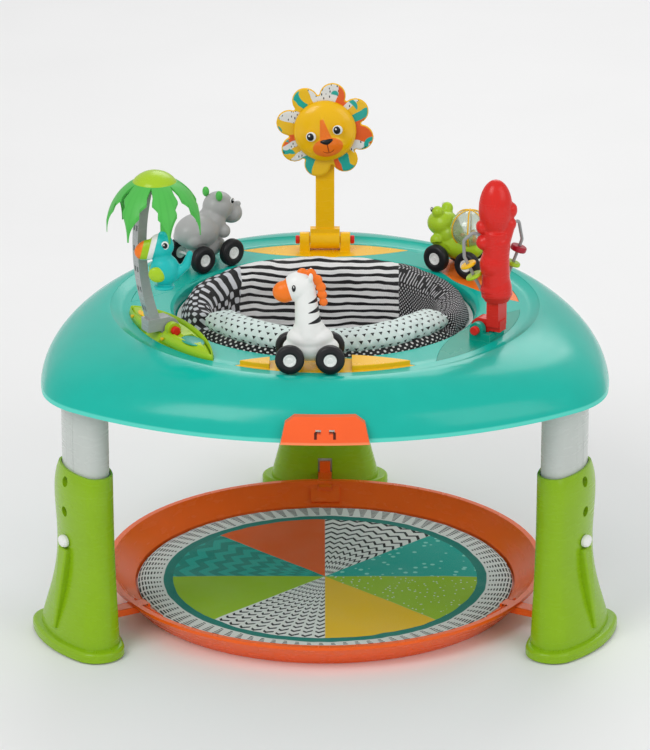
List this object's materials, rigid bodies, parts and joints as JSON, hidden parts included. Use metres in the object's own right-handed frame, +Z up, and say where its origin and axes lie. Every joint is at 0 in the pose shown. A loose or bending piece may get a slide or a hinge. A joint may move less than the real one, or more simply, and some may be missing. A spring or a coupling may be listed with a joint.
{
  "type": "baby activity table",
  "caption": "Round toy deck on three height-adjustable legs with a turning fabric seat, tilting toys, lift-off cars and a padded floor dish.",
  "frame": {"origin": "on the seat's axis, on the flat underside of the floor dish", "axes": "+Z up along the seat's axis, -Y towards the front of the tray, +X to the right seen from the front"},
  "size_m": [0.7256, 0.7275, 0.601],
  "materials": {
    "lime_plastic": "satin lime",
    "tube_plastic": "satin grey-white",
    "white_plastic": "satin white",
    "rubber_grey": "matte",
    "spring_steel": "plain",
    "orange_ring": "satin orange",
    "mat_fabric": "printed",
    "teal_plastic": "satin teal",
    "cap_orange": "satin orange",
    "ring_white": "satin",
    "seat_cloth": "printed",
    "yellow_plastic": "satin yellow",
    "red_plastic": "glossy red",
    "grey_plastic": "satin grey",
    "leaf_green": "satin green",
    "dark_teal": "satin dark teal",
    "wire_grey": "coated wire",
    "tyre_black": "satin black",
    "clear_plastic": "clear",
    "mane_orange": "satin"
  },
  "bodies": {
    "base": {"foot_sleeve_back": "lime_plastic", "foot_sleeve_left": "lime_plastic", "foot_sleeve_right": "lime_plastic", "foot_pads": "rubber_grey", "base_dish": "orange_ring", "dish_link_back": "orange_ring", "dish_link_left": "orange_ring", "dish_link_right": "orange_ring"},
    "floor_mat": {"play_mat": "mat_fabric"},
    "table": {"table_tray": "teal_plastic", "rim_clip": "cap_orange", "button_springs": "spring_steel", "lion_base": "yellow_plastic", "palm_base": "lime_plastic", "figure_base": "dark_teal", "zebra_dock": "yellow_plastic", "frog_dock": "cap_orange", "hippo_dock": "teal_plastic", "leg_tube_back": "tube_plastic", "leg_tube_left": "tube_plastic", "leg_tube_right": "tube_plastic"},
    "seat": {"seat_ring": "ring_white", "seat_retainer": "ring_white", "seat_screws": "spring_steel", "seat_fabric": "seat_cloth", "seat_bolster": "seat_cloth"},
    "lion_arm": {"lion_post": "yellow_plastic", "lion_pin": "red_plastic", "lion_rivet": "spring_steel"},
    "lion_head": {"lion_mane": "yellow_plastic", "lion_face": "yellow_plastic"},
    "palm": {"palm_trunk": "grey_plastic", "palm_pin": "red_plastic", "palm_leaves": "leaf_green", "palm_cap": "lime_plastic"},
    "bird": {"bird_strap": "leaf_green", "bird_body": "teal_plastic"},
    "figure": {"figure_body": "red_plastic", "figure_pin": "red_plastic", "figure_wire_left": "wire_grey", "figure_wire_right": "wire_grey"},
    "button_back": {"leg_button_back": "white_plastic"},
    "button_left": {"leg_button_left": "white_plastic"},
    "button_right": {"leg_button_right": "white_plastic"},
    "yellow_bead": {"bead_yellow": "yellow_plastic"},
    "lime_bead": {"bead_lime": "lime_plastic"},
    "red_bead": {"bead_red": "red_plastic"},
    "green_bead": {"bead_green": "lime_plastic"},
    "zebra_car": {"zebra_body": "white_plastic", "zebra_mane": "mane_orange"},
    "hippo_car": {"hippo_body": "grey_plastic"},
    "frog_car": {"frog_body": "lime_plastic", "frog_shell": "clear_plastic", "frog_beads": "yellow_plastic"},
    "zebra_front_wheels": {"zebra_wheels_front": "tyre_black"},
    "zebra_rear_wheels": {"zebra_wheels_rear": "tyre_black"},
    "hippo_front_wheels": {"hippo_wheels_front": "tyre_black"},
    "hippo_rear_wheels": {"hippo_wheels_rear": "tyre_black"},
    "frog_front_wheels": {"frog_wheels_front": "tyre_black"},
    "frog_rear_wheels": {"frog_wheels_rear": "tyre_black"}
  },
  "joints": [
    {"name": "table_height", "type": "slide", "parent": "base", "child": "table", "axis": [0, 0, 1], "range_m": [0, 0.077]},
    {"name": "button_back_press", "type": "slide", "parent": "base", "child": "button_back", "axis": [0, -1, 0], "range_m": [0, 0.005], "stiffness_N_per_m": 400, "springref_m": -0.001},
    {"name": "button_left_press", "type": "slide", "parent": "base", "child": "button_left", "axis": [0.866, 0.5, 0], "range_m": [0, 0.005], "stiffness_N_per_m": 400, "springref_m": -0.001},
    {"name": "button_right_press", "type": "slide", "parent": "base", "child": "button_right", "axis": [-0.866, 0.5, 0], "range_m": [0, 0.005], "stiffness_N_per_m": 400, "springref_m": -0.001},
    {"name": "mat_lift", "type": "slide", "parent": "base", "child": "floor_mat", "axis": [0, 0, 1], "range_m": [0, 0.1]},
    {"name": "seat_turn", "type": "hinge", "parent": "table", "child": "seat", "pos_m": [0, 0, 0.358], "axis": [0, 0, 1], "continuous": true},
    {"name": "lion_tilt", "type": "hinge", "parent": "table", "child": "lion_arm", "pos_m": [0, 0.222, 0.388], "axis": [1, 0, 0], "range_deg": [-25, 25]},
    {"name": "lion_spin", "type": "hinge", "parent": "lion_arm", "child": "lion_head", "pos_m": [0, 0.222, 0.538], "axis": [0, -1, 0], "continuous": true},
    {"name": "palm_tilt", "type": "hinge", "parent": "table", "child": "palm", "pos_m": [-0.19226, -0.111, 0.388], "axis": [-0.5, 0.866, 0], "range_deg": [0, 30]},
    {"name": "bird_swing", "type": "hinge", "parent": "palm", "child": "bird", "pos_m": [-0.193, -0.153, 0.5515], "axis": [0, -1, 0], "range_deg": [-20, 20]},
    {"name": "figure_tilt", "type": "hinge", "parent": "table", "child": "figure", "pos_m": [0.19226, -0.111, 0.388], "axis": [-0.5, -0.866, 0], "range_deg": [0, 30]},
    {"name": "yellow_bead_slide", "type": "slide", "parent": "figure", "child": "yellow_bead", "axis": [0.4472, 0, -0.8944], "range_m": [-0.004, 0.004]},
    {"name": "lime_bead_slide", "type": "slide", "parent": "figure", "child": "lime_bead", "axis": [0.4472, 0, -0.8944], "range_m": [-0.003, 0.002]},
    {"name": "red_bead_slide", "type": "slide", "parent": "figure", "child": "red_bead", "axis": [-0.3376, -0.0205, -0.9411], "range_m": [-0.004, 0.004]},
    {"name": "green_bead_slide", "type": "slide", "parent": "figure", "child": "green_bead", "axis": [-0.3376, -0.0205, -0.9411], "range_m": [-0.004, 0.004]},
    {"name": "zebra_lift", "type": "slide", "parent": "table", "child": "zebra_car", "axis": [0, 0, 1], "range_m": [0, 0.08]},
    {"name": "zebra_front_roll", "type": "hinge", "parent": "zebra_car", "child": "zebra_front_wheels", "pos_m": [-0.04184, -0.22178, 0.3928], "axis": [0, -1, 0], "continuous": true},
    {"name": "zebra_rear_roll", "type": "hinge", "parent": "zebra_car", "child": "zebra_rear_wheels", "pos_m": [0.00616, -0.22178, 0.3928], "axis": [0, -1, 0], "continuous": true},
    {"name": "hippo_lift", "type": "slide", "parent": "table", "child": "hippo_car", "axis": [0, 0, 1], "range_m": [0, 0.08]},
    {"name": "hippo_front_roll", "type": "hinge", "parent": "hippo_car", "child": "hippo_front_wheels", "pos_m": [-0.13499, 0.17431, 0.3928], "axis": [-0.6691, 0.7431, 0], "continuous": true},
    {"name": "hippo_rear_roll", "type": "hinge", "parent": "hippo_car", "child": "hippo_rear_wheels", "pos_m": [-0.17066, 0.1422, 0.3928], "axis": [-0.6691, 0.7431, 0], "continuous": true},
    {"name": "frog_lift", "type": "slide", "parent": "table", "child": "frog_car", "axis": [0, 0, 1], "range_m": [0, 0.08]},
    {"name": "frog_front_roll", "type": "hinge", "parent": "frog_car", "child": "frog_front_wheels", "pos_m": [0.15577, 0.15112, 0.3928], "axis": [-0.6018, -0.7986, 0], "continuous": true},
    {"name": "frog_rear_roll", "type": "hinge", "parent": "frog_car", "child": "frog_rear_wheels", "pos_m": [0.1941, 0.12223, 0.3928], "axis": [-0.6018, -0.7986, 0], "continuous": true}
  ]
}
